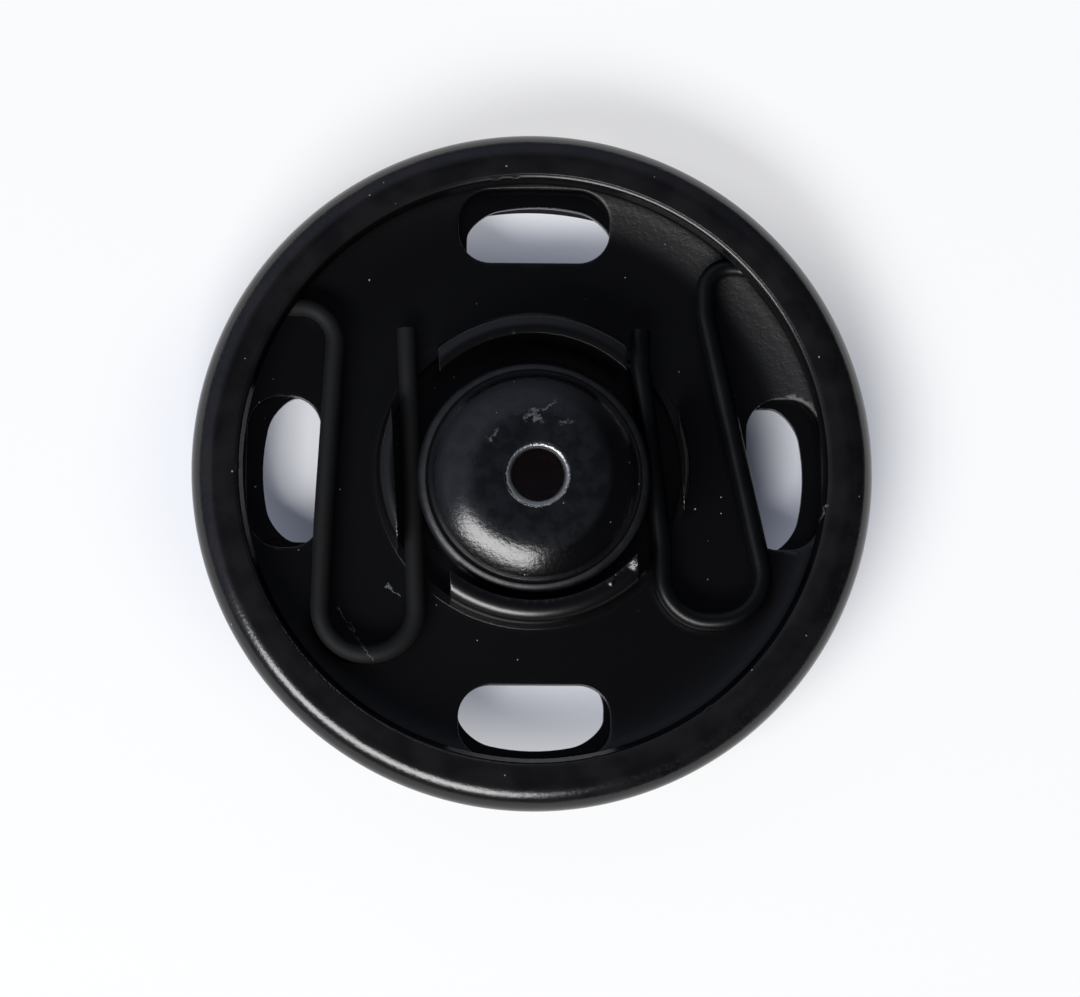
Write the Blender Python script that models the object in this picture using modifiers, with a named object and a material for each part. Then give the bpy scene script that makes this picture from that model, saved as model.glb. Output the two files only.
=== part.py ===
# Sew-on snap fastener, thirty millimetres across, with its ball half pressed into its socket half.
# The ball half lies on the table and the socket half's open back, with its two springs, faces up.
# Sizes are in millimetres and become metres where a mesh is made. Angles are in radians, except in arc().

from math import acos, asin, atan2, cos, pi, radians, sin, tan

import bmesh
import bpy
from mathutils import Vector

MM = 0.001

# Sheet, wire and running gaps
SHEET = 0.35
WIRE = 0.9
SEAT_GAP = 0.3
WIRE_GAP = 0.1

# Ball half
BALL_RADIUS = 5.1
BALL_HEIGHT = 3.75
BRIM_HEIGHT = 2.35
BALL_SHOULDER_RADIUS = 2.55
TIP_HOLE_RADIUS = 1.15
GRIP = 0.215
NECK_GAP = 0.3
NECK_FOOT = 0.6
BALL_PLATE_RADIUS = 14.0
BALL_PLATE_HEIGHT = 1.45
BALL_SIDE_PLAY = 0.41

# Socket half
SOCKET_RADIUS = 15.0
HUB_CLEARANCE = 0.8
HUB_TOP_WIDTH = 1.0
HUB_HEIGHT = 2.25
HUB_CORNER = 0.56
HUB_FLARE = 0.05
HUB_FOOT = 0.3
WINDOW_INNER = 1.215
WINDOW_OUTER = 0.965
WINDOW_SILL = 0.05
WINDOW_TURN = radians(3)
WINDOW_SHIFT = 0.175

# Rolled rims; a bulge is the height of a rim's widest ring, as a share of the rim's height
LIP_WIDTH = 2.05
RIM_BULGE = 0.31
BALL_LIP_WIDTH = 1.3
BALL_RIM_BULGE = 0.5

# Sewing slots
SLOT_LENGTH = 6.7
SLOT_WIDTH = 3.3
SLOT_CORNER = 1.4
SLOT_CORNER_SHARE = 0.45
SLOT_MARGIN = 0.25
SLOT_BOW = 0.15
SLOT_SHIFT = 0.1
BALL_SLOT_LENGTH = 6.4
BALL_SLOT_MARGIN = 0.7
BALL_SLOT_BOW = 0.6
BALL_SLOT_TURN = radians(-1.0)
BALL_SLOT_SHIFT_X = 0.15
BALL_SLOT_SHIFT_Y = 0.36

# Springs: the bent shape of each, seen from above, hub axis at the origin
LOOP_RADIUS = 2.08
LEG_TOP = 6.3
LEFT_LEG_LEAN = 0.037
LEFT_LOOP_BOTTOM = -8.12
LEFT_LOOP_WIDTH = 4.32
LEFT_HOOK_X = -8.6
LEFT_HOOK_Y = 7.24
LEFT_HOOK_RADIUS = 1.55
RIGHT_LEG_TOP_IN = 0.57
RIGHT_LEG_BOTTOM_OUT = 0.385
RIGHT_KNEE_TOP = 4.6
RIGHT_KNEE_BOTTOM = -3.3
RIGHT_LOOP_BOTTOM = -6.61
RIGHT_LOOP_WIDTH = 4.9
RIGHT_HOOK_X = 7.65
RIGHT_HOOK_Y = 9.12
RIGHT_HOOK_LEG = 2.1
RIGHT_HOOK_RADIUS = 1.1
RIGHT_HOOK_REACH = 1.45
RIGHT_HOOK_DROP = 0.4
KNEE_RADIUS = 3.0
HOOK_END_RADIUS = 0.6
HOOK_TUCK = 1.0
HOOK_RUN = radians(12)

# How far a cutter stands past what it cuts, as a share of it, and the fineness of curves
CUTTER_REACH = 1.5
TURN_STEPS = 60
PROFILE_STEP = radians(30)
OUTLINE_STEP = radians(22.5)

# Heights of the sheet's middle surface, and radii that follow from the sizes above
ball_plate_z = BALL_PLATE_HEIGHT
socket_plate_z = ball_plate_z + SHEET + SEAT_GAP
wire_z = socket_plate_z + SHEET / 2 + WIRE_GAP + WIRE / 2
lip_z = wire_z + WIRE / 2 + WIRE_GAP + SHEET / 2
brim_z = ball_plate_z + BRIM_HEIGHT
ball_top_z = ball_plate_z + BALL_HEIGHT - SHEET / 2
tip_hole_radius = TIP_HOLE_RADIUS + SHEET / 2
hub_top_z = socket_plate_z + SHEET / 2 + HUB_HEIGHT
neck_radius = BALL_RADIUS - GRIP - NECK_GAP
leg_x = BALL_RADIUS - GRIP + WIRE / 2
hub_hole_radius = BALL_RADIUS + HUB_CLEARANCE
hub_radius = hub_hole_radius + HUB_TOP_WIDTH
lip_edge_radius = SOCKET_RADIUS - LIP_WIDTH
ball_lip_edge_radius = BALL_PLATE_RADIUS - BALL_LIP_WIDTH
hook_run_radius = lip_edge_radius + HOOK_TUCK


def arc(centre_r, centre_z, radius, start, end, step=PROFILE_STEP):
    """Points on an arc between two angles in degrees, both ends included."""
    start, end = radians(start), radians(end)
    count = max(2, round(abs(end - start) / step))
    angles = [start + (end - start) * i / count for i in range(count + 1)]
    return [(centre_r + radius * cos(a), centre_z + radius * sin(a)) for a in angles]


def rim(plate_z, outer_radius, lip_radius, lip_height, bulge, up):
    """Middle line of a rolled rim, rounded from the plate back to a flat lip; up is 1 or -1."""
    widest = outer_radius - SHEET / 2
    first_bend = bulge * lip_height
    second_bend = lip_height - first_bend
    line = arc(widest - first_bend, first_bend, first_bend, -90, 0)
    line += arc(widest - second_bend, first_bend, second_bend, 0, 90)[1:]
    line.append((lip_radius, lip_height))
    return [(r, plate_z + up * z) for r, z in line]


def ball_profile():
    """Middle line of the ball half, from the tip hole over the ball, down the neck and out to the rim."""
    shoulder = BALL_SHOULDER_RADIUS
    brim = BALL_RADIUS - SHEET / 2
    neck = neck_radius - SHEET / 2
    rise = ball_top_z - brim_z
    slope = brim - shoulder
    ball = [
        (tip_hole_radius, ball_top_z - 0.25 * rise),
        (tip_hole_radius + 0.2, ball_top_z - 0.05 * rise),
        (tip_hole_radius + 0.55, ball_top_z),
        (shoulder, ball_top_z - 0.025 * rise),
        (shoulder + 0.17 * slope, ball_top_z - 0.1 * rise),
        (shoulder + 0.42 * slope, ball_top_z - 0.33 * rise),
        (shoulder + 0.67 * slope, ball_top_z - 0.645 * rise),
        (shoulder + 0.79 * slope, ball_top_z - 0.78 * rise),
        (shoulder + 0.93 * slope, ball_top_z - 0.875 * rise),
        (brim, brim_z),
        (brim - 0.18, brim_z - 0.21),
        (neck + 0.05, brim_z - 0.42),
        (neck, brim_z - 0.7),
    ]
    foot = arc(neck + NECK_FOOT, ball_plate_z + NECK_FOOT, NECK_FOOT, 180, 270)
    lip_height = ball_plate_z - SHEET / 2
    return ball + foot + rim(
        ball_plate_z, BALL_PLATE_RADIUS, ball_lip_edge_radius, lip_height, BALL_RIM_BULGE, -1)


def socket_profile():
    """Middle line of the socket half, from the hub's hole over its shoulder and out to the rim."""
    side = hub_radius - SHEET / 2
    top_z = hub_top_z - SHEET / 2
    shoulder = arc(side - HUB_CORNER, top_z - HUB_CORNER, HUB_CORNER, 90, 0)
    foot = arc(side + HUB_FLARE + HUB_FOOT, socket_plate_z + HUB_FOOT, HUB_FOOT, 180, 270)
    hub = [(hub_hole_radius, top_z)] + shoulder + foot
    lip_height = lip_z - socket_plate_z
    return hub + rim(socket_plate_z, SOCKET_RADIUS, lip_edge_radius, lip_height, RIM_BULGE, 1)


def turned_sheet(name, profile):
    """A profile of the sheet's middle surface, turned about Z and given the sheet's thickness."""
    mesh = bpy.data.meshes.new(name)
    points = [(r * MM, 0, z * MM) for r, z in profile]
    edges = [(i, i + 1) for i in range(len(points) - 1)]
    mesh.from_pydata(points, edges, [])
    part = bpy.data.objects.new(name, mesh)
    turn = part.modifiers.new("turn", "SCREW")
    turn.axis = "Z"
    turn.steps = TURN_STEPS
    turn.render_steps = TURN_STEPS
    turn.use_merge_vertices = True
    turn.merge_threshold = 0.00001
    wall = part.modifiers.new("sheet", "SOLIDIFY")
    wall.thickness = SHEET * MM
    wall.offset = 0
    wall.use_even_offset = True
    return part


def as_mesh(curve_object):
    """A closed mesh object in place of a curve object, with its caps welded on."""
    graph = bpy.context.evaluated_depsgraph_get()
    mesh = bpy.data.meshes.new_from_object(curve_object.evaluated_get(graph))
    shell = bmesh.new()
    shell.from_mesh(mesh)
    bmesh.ops.remove_doubles(shell, verts=shell.verts, dist=0.000001)
    bmesh.ops.recalc_face_normals(shell, faces=shell.faces)
    shell.to_mesh(mesh)
    shell.free()
    solid = bpy.data.objects.new(curve_object.name, mesh)
    solid.matrix_world = curve_object.matrix_world
    curve = curve_object.data
    bpy.data.objects.remove(curve_object)
    bpy.data.curves.remove(curve)
    return solid


def slot_outline(length, bow):
    """Outline of a sewing slot about its own centre, long side along X, whose outer side at -Y bows out."""
    corner = min(SLOT_CORNER, SLOT_CORNER_SHARE * SLOT_WIDTH)
    x = length / 2 - corner
    y = SLOT_WIDTH / 2 - corner
    outline = arc(x, y, corner, 0, 90, OUTLINE_STEP) + arc(-x, y, corner, 90, 180, OUTLINE_STEP)
    outline += arc(-x, -y, corner, 180, 270, OUTLINE_STEP) + [(0, -SLOT_WIDTH / 2)]
    outline += arc(x, -y, corner, 270, 360, OUTLINE_STEP)
    return [(px, py + bow * max(0, -2 * py / SLOT_WIDTH) * (2 * px / length) ** 2) for px, py in outline]


def slot_cutters(name, outline, centre_radius, centre, turn, plate_z):
    """Four slots round the hub, as one cutter that passes through the plate."""
    flat = bpy.data.curves.new(name, "CURVE")
    flat.dimensions = "2D"
    flat.fill_mode = "BOTH"
    flat.extrude = CUTTER_REACH * SHEET * MM
    for quarter in range(4):
        angle = turn + quarter * pi / 2
        spline = flat.splines.new("POLY")
        spline.points.add(len(outline) - 1)
        spline.use_cyclic_u = True
        for point, (x, y) in zip(spline.points, outline):
            y -= centre_radius
            point.co = (
                (centre[0] + x * cos(angle) - y * sin(angle)) * MM,
                (centre[1] + x * sin(angle) + y * cos(angle)) * MM,
                0,
                1,
            )
    guide = bpy.data.objects.new(name, flat)
    bpy.context.scene.collection.objects.link(guide)
    guide.location.z = plate_z * MM
    bpy.context.view_layer.update()
    return as_mesh(guide)


def window_cutters():
    """Two boxes that open the hub's wall for the springs, one along each leg, and stand a little askew."""
    shell = bmesh.new()
    bottom = socket_plate_z + SHEET / 2 + WINDOW_SILL
    top = hub_top_z + CUTTER_REACH * SHEET
    width = WINDOW_INNER + WINDOW_OUTER
    length = 2 * CUTTER_REACH * hub_radius
    for side in (-1, 1):
        middle = side * (leg_x + (WINDOW_OUTER - WINDOW_INNER) / 2)
        box = bmesh.ops.create_cube(shell, size=1)["verts"]
        bmesh.ops.scale(shell, vec=Vector((width, length, top - bottom)) * MM, verts=box)
        bmesh.ops.translate(shell, vec=Vector((middle, 0, (top + bottom) / 2)) * MM, verts=box)
    mesh = bpy.data.meshes.new("hub_windows")
    shell.to_mesh(mesh)
    shell.free()
    windows = bpy.data.objects.new("hub_windows", mesh)
    windows.location.x = WINDOW_SHIFT * MM
    windows.rotation_euler.z = WINDOW_TURN
    return windows


def cut(part, cutter):
    """Takes the cutter out of the part."""
    hole = part.modifiers.new(cutter.name, "BOOLEAN")
    hole.operation = "DIFFERENCE"
    hole.solver = "EXACT"
    hole.object = cutter


def bent(corners, radii):
    """A wire's centre line through the corners, each rounded as far as its legs allow."""
    line = [corners[0]]
    for before, corner, after, radius in zip(corners, corners[1:], corners[2:], radii):
        corner = Vector(corner)
        back = Vector(before) - corner
        ahead = Vector(after) - corner
        half = acos(max(-1, min(1, back.normalized().dot(ahead.normalized())))) / 2
        reach = min(radius / tan(half), 0.49 * back.length, 0.49 * ahead.length)
        radius = reach * tan(half)
        back.normalize()
        ahead.normalize()
        centre = corner + (back + ahead).normalized() * radius / sin(half)
        start = corner + back * reach - centre
        end = corner + ahead * reach - centre
        sweep = atan2(start.x * end.y - start.y * end.x, start.dot(end))
        count = max(1, round(abs(sweep) / OUTLINE_STEP))
        first = atan2(start.y, start.x)
        for i in range(count + 1):
            angle = first + sweep * i / count
            line.append((centre.x + radius * cos(angle), centre.y + radius * sin(angle)))
    line.append(corners[-1])
    return line


def hook_run(side, y):
    """Where a hook goes under the lip at height y, and its short run along the rim."""
    meet = asin(y / hook_run_radius)
    angles = [meet - HOOK_RUN * i / 3 for i in range(4)]
    return [(side * hook_run_radius * cos(a), hook_run_radius * sin(a)) for a in angles]


def left_spring_line():
    """The left spring: free end, straight leg through the hub, loop, outer leg and hook under the lip."""
    loop_x = LEFT_LEG_LEAN * -LEFT_LOOP_BOTTOM - leg_x
    corners = [
        (-leg_x - LEFT_LEG_LEAN * LEG_TOP, LEG_TOP),
        (loop_x, LEFT_LOOP_BOTTOM),
        (loop_x - LEFT_LOOP_WIDTH, LEFT_LOOP_BOTTOM),
        (LEFT_HOOK_X, LEFT_HOOK_Y),
    ]
    run = hook_run(-1, LEFT_HOOK_Y)
    radii = [LOOP_RADIUS, LOOP_RADIUS, LEFT_HOOK_RADIUS, HOOK_END_RADIUS]
    return bent(corners + run[:2], radii) + run[2:]


def right_spring_line():
    """The right spring, whose inner leg leans out to its loop and whose hook sits higher up the rim."""
    loop_x = leg_x + RIGHT_LEG_BOTTOM_OUT
    top_x = leg_x - RIGHT_LEG_TOP_IN
    corners = [
        (top_x, LEG_TOP),
        (top_x, RIGHT_KNEE_TOP),
        (loop_x, RIGHT_KNEE_BOTTOM),
        (loop_x, RIGHT_LOOP_BOTTOM),
        (loop_x + RIGHT_LOOP_WIDTH, RIGHT_LOOP_BOTTOM),
        (RIGHT_HOOK_X, RIGHT_HOOK_Y - RIGHT_HOOK_LEG),
        (RIGHT_HOOK_X, RIGHT_HOOK_Y),
        (RIGHT_HOOK_X + RIGHT_HOOK_REACH, RIGHT_HOOK_Y),
    ]
    run = hook_run(1, RIGHT_HOOK_Y - RIGHT_HOOK_DROP)
    radii = [KNEE_RADIUS, KNEE_RADIUS, LOOP_RADIUS, LOOP_RADIUS, KNEE_RADIUS, RIGHT_HOOK_RADIUS]
    radii += [HOOK_END_RADIUS, HOOK_END_RADIUS]
    return bent(corners + run[:2], radii) + run[2:]


def spring(name, line):
    """A round wire along its centre line, flat in the gap between the plate and the lip."""
    path = bpy.data.curves.new(name, "CURVE")
    path.dimensions = "3D"
    path.bevel_depth = WIRE / 2 * MM
    path.bevel_resolution = 3
    path.use_fill_caps = True
    spline = path.splines.new("POLY")
    spline.points.add(len(line) - 1)
    for point, (x, y) in zip(spline.points, line):
        point.co = (x * MM, y * MM, 0, 1)
    part = bpy.data.objects.new(name, path)
    part.location.z = wire_z * MM
    return part


def lacquer(name, colour, roughness, metallic):
    """The part's own coat."""
    material = bpy.data.materials.new(name)
    material.use_nodes = True
    shader = material.node_tree.nodes["Principled BSDF"]
    shader.inputs["Base Color"].default_value = (*colour, 1)
    shader.inputs["Roughness"].default_value = roughness
    shader.inputs["Metallic"].default_value = metallic
    return material


def main():
    for old in list(bpy.data.objects):
        bpy.data.objects.remove(old)
    parts = bpy.data.collections.new("snap_fastener")
    cutters = bpy.data.collections.new("cutters")
    bpy.context.scene.collection.children.link(parts)
    bpy.context.scene.collection.children.link(cutters)

    ball_half = turned_sheet("ball_half", ball_profile())
    ball_half.location = (0, -BALL_SIDE_PLAY * MM, 0)
    ball_slots = slot_cutters(
        "ball_slots",
        slot_outline(BALL_SLOT_LENGTH, BALL_SLOT_BOW),
        ball_lip_edge_radius - BALL_SLOT_MARGIN - SLOT_WIDTH / 2,
        (BALL_SLOT_SHIFT_X, BALL_SLOT_SHIFT_Y - BALL_SIDE_PLAY),
        BALL_SLOT_TURN,
        ball_plate_z,
    )
    cut(ball_half, ball_slots)

    socket_half = turned_sheet("socket_half", socket_profile())
    socket_slots = slot_cutters(
        "socket_slots",
        slot_outline(SLOT_LENGTH, SLOT_BOW),
        lip_edge_radius - SLOT_MARGIN - SLOT_WIDTH / 2,
        (SLOT_SHIFT, 0),
        0,
        socket_plate_z,
    )
    hub_windows = window_cutters()
    cut(socket_half, socket_slots)
    cut(socket_half, hub_windows)

    spring_left = spring("spring_left", left_spring_line())
    spring_right = spring("spring_right", right_spring_line())

    for cutter in (ball_slots, socket_slots, hub_windows):
        cutters.objects.link(cutter)
        cutter.hide_render = True
        cutter.display_type = "WIRE"
    coats = {
        ball_half: lacquer("ball_half_lacquer", (0.012, 0.012, 0.014), 0.28, 0),
        socket_half: lacquer("socket_half_lacquer", (0.01, 0.01, 0.012), 0.3, 0),
        spring_left: lacquer("spring_left_lacquer", (0.014, 0.014, 0.016), 0.32, 0.2),
        spring_right: lacquer("spring_right_lacquer", (0.014, 0.014, 0.016), 0.32, 0.2),
    }
    for part, coat in coats.items():
        parts.objects.link(part)
        part.data.materials.append(coat)


main()
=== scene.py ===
from math import asin, cos, degrees, pi, radians, sin

import bmesh
import bpy
from mathutils import Matrix, Vector


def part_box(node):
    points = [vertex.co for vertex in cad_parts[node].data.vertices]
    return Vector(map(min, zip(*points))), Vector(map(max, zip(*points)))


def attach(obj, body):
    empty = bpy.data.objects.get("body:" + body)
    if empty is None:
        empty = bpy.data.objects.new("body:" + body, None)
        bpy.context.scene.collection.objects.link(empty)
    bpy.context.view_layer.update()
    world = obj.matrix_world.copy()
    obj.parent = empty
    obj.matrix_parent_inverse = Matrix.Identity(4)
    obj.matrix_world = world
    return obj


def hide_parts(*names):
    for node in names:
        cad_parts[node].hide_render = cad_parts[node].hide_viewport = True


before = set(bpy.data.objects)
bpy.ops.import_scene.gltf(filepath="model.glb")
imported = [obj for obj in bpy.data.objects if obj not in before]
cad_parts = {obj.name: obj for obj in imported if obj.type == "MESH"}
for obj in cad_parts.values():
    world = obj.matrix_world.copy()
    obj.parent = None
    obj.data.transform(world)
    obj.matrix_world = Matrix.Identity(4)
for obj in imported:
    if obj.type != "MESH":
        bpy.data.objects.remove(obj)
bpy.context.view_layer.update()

mm = 0.001

# places that the CAD model gives, in millimetres
socketLow, socketHigh = (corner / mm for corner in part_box("socket_half"))
ballLow, ballHigh = (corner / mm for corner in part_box("ball_half"))
wireLow, wireHigh = (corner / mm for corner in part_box("spring_left"))
sheetThick = 0.35
socketRadius = socketHigh.x
socketPlateZ = socketLow.z + sheetThick / 2
hubTopZ = socketHigh.z
ballPlateRadius = ballHigh.x
ballCentreY = (ballLow.y + ballHigh.y) / 2
ballTopZ = ballHigh.z
wireZ = (wireLow.z + wireHigh.z) / 2
wireThick = wireHigh.z - wireLow.z


# small helpers

def hexColour(code):
    parts = [int(code[i:i + 2], 16) / 255 for i in (1, 3, 5)]
    return [c / 12.92 if c <= 0.04045 else ((c + 0.055) / 1.055) ** 2.4 for c in parts] + [1]


def addNode(tree, kind, inputs=None, **settings):
    # an input goes by its name or number, and a node given to one is linked from its first output in use
    node = tree.nodes.new(kind)
    for name, value in settings.items():
        setattr(node, name, value)
    for name, value in (inputs or {}).items():
        named = [s for s in node.inputs if s.enabled and s.name == name]
        socket = named[0] if named else node.inputs[name]
        if isinstance(value, bpy.types.Node):
            value = [s for s in value.outputs if s.enabled][0]
        if isinstance(value, bpy.types.NodeSocket):
            tree.links.new(value, socket)
        else:
            socket.default_value = value
    return node


def arcPoints(centreR, centreZ, radius, start, end, step=7):
    count = max(2, round(abs(end - start) / step))
    angles = [radians(start + (end - start) * i / count) for i in range(count + 1)]
    return [(centreR + radius * cos(a), centreZ + radius * sin(a)) for a in angles]


def smoothLine(points, steps):
    # Catmull-Rom through every point
    ends = [points[0]] + points + [points[-1]]
    curve = []
    for a, b, c, d in zip(ends, ends[1:], ends[2:], ends[3:]):
        for i in range(steps):
            t = i / steps
            curve.append(tuple(
                0.5 * (2 * q + (r - p) * t + (2 * p - 5 * q + 4 * r - s) * t**2 + (3 * q - p - 3 * r + s) * t**3)
                for p, q, r, s in zip(a, b, c, d)))
    return curve + [points[-1]]


def along(line, at):
    # height of a line of (place, height) points at a place between them
    for (x0, y0), (x1, y1) in zip(line, line[1:]):
        if x0 <= at <= x1:
            return y0 + (y1 - y0) * (at - x0) / (x1 - x0)
    return 0


def linkPiece(name, mesh):
    piece = bpy.data.objects.new(name, mesh)
    bpy.context.scene.collection.objects.link(piece)
    return piece


def bakedMesh(piece):
    # what the modifiers make of the piece, as a plain mesh
    bpy.context.view_layer.update()
    graph = bpy.context.evaluated_depsgraph_get()
    mesh = bpy.data.meshes.new_from_object(piece.evaluated_get(graph), depsgraph=graph)
    piece.modifiers.clear()
    piece.data = mesh
    return piece


def newTree(name, inputs, output):
    tree = bpy.data.node_groups.new(name, "GeometryNodeTree")
    for label, kind in inputs:
        tree.interface.new_socket(label, in_out="INPUT", socket_type=kind)
    tree.interface.new_socket(output, in_out="OUTPUT", socket_type="NodeSocketGeometry")
    return tree


def applyTree(piece, tree, given):
    nodes = piece.modifiers.new(tree.name, "NODES")
    nodes.node_group = tree
    for item in tree.interface.items_tree:
        if item.in_out == "INPUT" and item.name in given:
            nodes[item.identifier] = given[item.name]
    return bakedMesh(piece)


# sheet: a line through the middle of the metal becomes a closed outline with rounded cut edges

def sheetOutline(line, startRound, endRound):
    half = sheetThick / 2
    points = [Vector(p) for p in line]
    startWay = (points[0] - points[1]).normalized()
    endWay = (points[-1] - points[-2]).normalized()
    points[0] = points[0] - startWay * startRound
    points[-1] = points[-1] - endWay * endRound
    left, right = [], []
    for i, point in enumerate(points):
        before = (point - points[max(i - 1, 0)]).normalized()
        after = (points[min(i + 1, len(points) - 1)] - point).normalized()
        if i == 0:
            before = after
        if i == len(points) - 1:
            after = before
        way = (before + after).normalized()
        side = Vector((-way.y, way.x)) * half / max(0.5, way.dot(after))
        left.append(point + side)
        right.append(point - side)

    def roundedEnd(point, way, edgeRound):
        # quarter round, flat, quarter round
        side = Vector((-way.y, way.x))
        corners = []
        inner = half - edgeRound
        for k in range(1, 5):
            a = radians(22.5 * k)
            corners.append(point + side * (inner + edgeRound * cos(a)) + way * edgeRound * sin(a))
        for k in range(4):
            a = radians(22.5 * k)
            corners.append(point - side * (inner + edgeRound * sin(a)) + way * edgeRound * cos(a))
        return corners

    return left + roundedEnd(points[-1], endWay, endRound) + right[::-1] + roundedEnd(points[0], startWay, startRound)


def turnedMesh(name, outline, steps, centreY=0.0):
    shell = bmesh.new()
    rings = []
    for i in range(steps):
        a = 2 * pi * i / steps
        rings.append([
            shell.verts.new((p.x * cos(a) * mm, (p.x * sin(a) + centreY) * mm, p.y * mm)) for p in outline])
    count = len(outline)
    for i in range(steps):
        here, there = rings[i], rings[(i + 1) % steps]
        for j in range(count):
            k = (j + 1) % count
            shell.faces.new((here[j], there[j], there[k], here[k]))
    bmesh.ops.recalc_face_normals(shell, faces=shell.faces)
    mesh = bpy.data.meshes.new(name)
    shell.to_mesh(mesh)
    shell.free()
    return mesh


def rolledRim(plateZ, radius, rim, lipHeight, up):
    # tight bend out of the plate, fuller bend back in, then the lip, which leans in and droops at its edge
    widest = radius - sheetThick / 2
    firstBend = rim["bulge"] * lipHeight
    crown = widest - lipHeight + firstBend
    line = arcPoints(widest - firstBend, firstBend, firstBend, -90, 0)
    line += arcPoints(crown, firstBend, lipHeight - firstBend, 0, 90)[1:]
    lean, turned = radians(rim["lean"]), radians(rim["lean"] + rim["droop"])
    reach = rim["droopRadius"] * (sin(turned) - sin(lean))
    leanRadius = (crown - radius + rim["width"] - reach) / sin(lean)
    line += arcPoints(crown, lipHeight - leanRadius, leanRadius, 90, 90 + rim["lean"], 1)[1:]
    start, height = line[-1]
    line += arcPoints(
        start + rim["droopRadius"] * sin(lean), height - rim["droopRadius"] * cos(lean), rim["droopRadius"],
        90 + rim["lean"], 90 + rim["lean"] + rim["droop"], 5)[1:]
    return [(r, plateZ + up * z) for r, z in line]


# sewing slots and hub windows, cut with their top and bottom edges rounded over

def slotLoop(slot, grow, steps=10):
    # a rounded rectangle, whose outer side at -Y bows out
    corner = slot["corner"]
    x = slot["length"] / 2 - corner
    y = slot["width"] / 2 - corner
    loop = []
    for cx, cy, start in ((x, y, 0), (-x, y, 90), (-x, -y, 180), (x, -y, 270)):
        if start == 270:
            loop += [(x * (k / 4 - 1), -y - corner - grow) for k in range(1, 8)]
        for k in range(steps + 1):
            a = radians(start + 90 * k / steps)
            loop.append((cx + (corner + grow) * cos(a), cy + (corner + grow) * sin(a)))
    return [
        (px, py + slot["bow"] * max(0, -2 * py / slot["width"]) * (2 * px / slot["length"]) ** 2)
        for px, py in loop]


def slotLevels(plateZ, edgeRound):
    # height and growth of the punch's outline, from under the sheet to over it, where it grows no more
    top = plateZ + sheetThick / 2
    flare = []
    for a in (180, 160, 140, 120, 100):
        flare.append((top - edgeRound + edgeRound * sin(radians(a)), edgeRound + edgeRound * cos(radians(a))))
    widest = 1.81 * edgeRound
    flare += [(top + 0.16 * edgeRound, widest), (top + 0.3, widest)]
    below = [(2 * plateZ - z, grow) for z, grow in reversed(flare)]
    return below + flare


def slotPunch(name, slot, plateZ, dish):
    # punch for the slot at -Y, centred on the axis; with a dish, it follows the plate's rise and fall
    punch = bmesh.new()
    rings = []
    for z, grow in slotLevels(plateZ, slot["edgeRound"]):
        ring = []
        for x, y in slotLoop(slot, grow):
            lift = along(dish, Vector((x, y - slot["radii"][0])).length) if dish else 0
            ring.append(punch.verts.new(Vector((x, y, z + lift)) * mm))
        rings.append(ring)
    for low, high in zip(rings, rings[1:]):
        for j in range(len(low)):
            k = (j + 1) % len(low)
            punch.faces.new((low[j], low[k], high[k], high[j]))
    punch.faces.new(rings[0][::-1])
    punch.faces.new(rings[-1])
    bmesh.ops.recalc_face_normals(punch, faces=punch.faces)
    mesh = bpy.data.meshes.new(name)
    punch.to_mesh(mesh)
    punch.free()
    return linkPiece(name, mesh)


def slotRingTree():
    # sets the punch at each place of the ring, a quarter further round each time
    tree = newTree("slotRing", [
        ("Places", "NodeSocketGeometry"), ("Punch", "NodeSocketObject"), ("First Turn", "NodeSocketFloat"),
        ("Turn Between", "NodeSocketFloat")], "Punches")
    given = addNode(tree, "NodeGroupInput").outputs
    punch = addNode(tree, "GeometryNodeObjectInfo", {"Object": given["Punch"]})
    index = addNode(tree, "GeometryNodeInputIndex")
    turn = addNode(
        tree, "ShaderNodeMath", {0: index, 1: given["Turn Between"], 2: given["First Turn"]},
        operation="MULTIPLY_ADD")
    turned = addNode(tree, "ShaderNodeCombineXYZ", {"Z": turn})
    ring = addNode(
        tree, "GeometryNodeInstanceOnPoints",
        {"Points": given["Places"], "Instance": punch.outputs["Geometry"], "Rotation": turned})
    solid = addNode(tree, "GeometryNodeRealizeInstances", {"Geometry": ring})
    addNode(tree, "NodeGroupOutput", {"Punches": solid})
    return tree


def slotCutters(name, slot, centreY, plateZ, dish=None):
    punch = slotPunch(name + "Punch", slot, plateZ, dish)
    shiftX, shiftY = slot["shift"]
    places = []
    for quarter, ringRadius in enumerate(slot["radii"]):
        a = slot["turn"] + quarter * pi / 2
        places.append(Vector((shiftX + ringRadius * sin(a), centreY + shiftY - ringRadius * cos(a), 0)) * mm)
    mesh = bpy.data.meshes.new(name)
    mesh.from_pydata(places, [], [])
    ring = linkPiece(name, mesh)
    applyTree(ring, slotRingTree(), {"Punch": punch, "First Turn": slot["turn"], "Turn Between": pi / 2})
    bpy.data.objects.remove(punch)
    return ring


def windowCutters(name, inner, outer, turn, shift, bottom, top, reach):
    # two straight windows side by side, turned together about the hub and shifted along X
    cutter = bmesh.new()
    for side in (-1, 1):
        box = bmesh.ops.create_cube(cutter, size=1)["verts"]
        size = Vector((outer - inner, 2 * reach, top - bottom)) * mm
        bmesh.ops.scale(cutter, vec=size, verts=box)
        place = Vector((side * (inner + outer) / 2, 0, (top + bottom) / 2)) * mm
        bmesh.ops.translate(cutter, vec=place, verts=box)
    bmesh.ops.rotate(cutter, cent=(0, 0, 0), matrix=Matrix.Rotation(turn, 3, "Z"), verts=cutter.verts)
    bmesh.ops.translate(cutter, vec=Vector((shift * mm, 0, 0)), verts=cutter.verts)
    mesh = bpy.data.meshes.new(name)
    cutter.to_mesh(mesh)
    cutter.free()
    return linkPiece(name, mesh)


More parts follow.
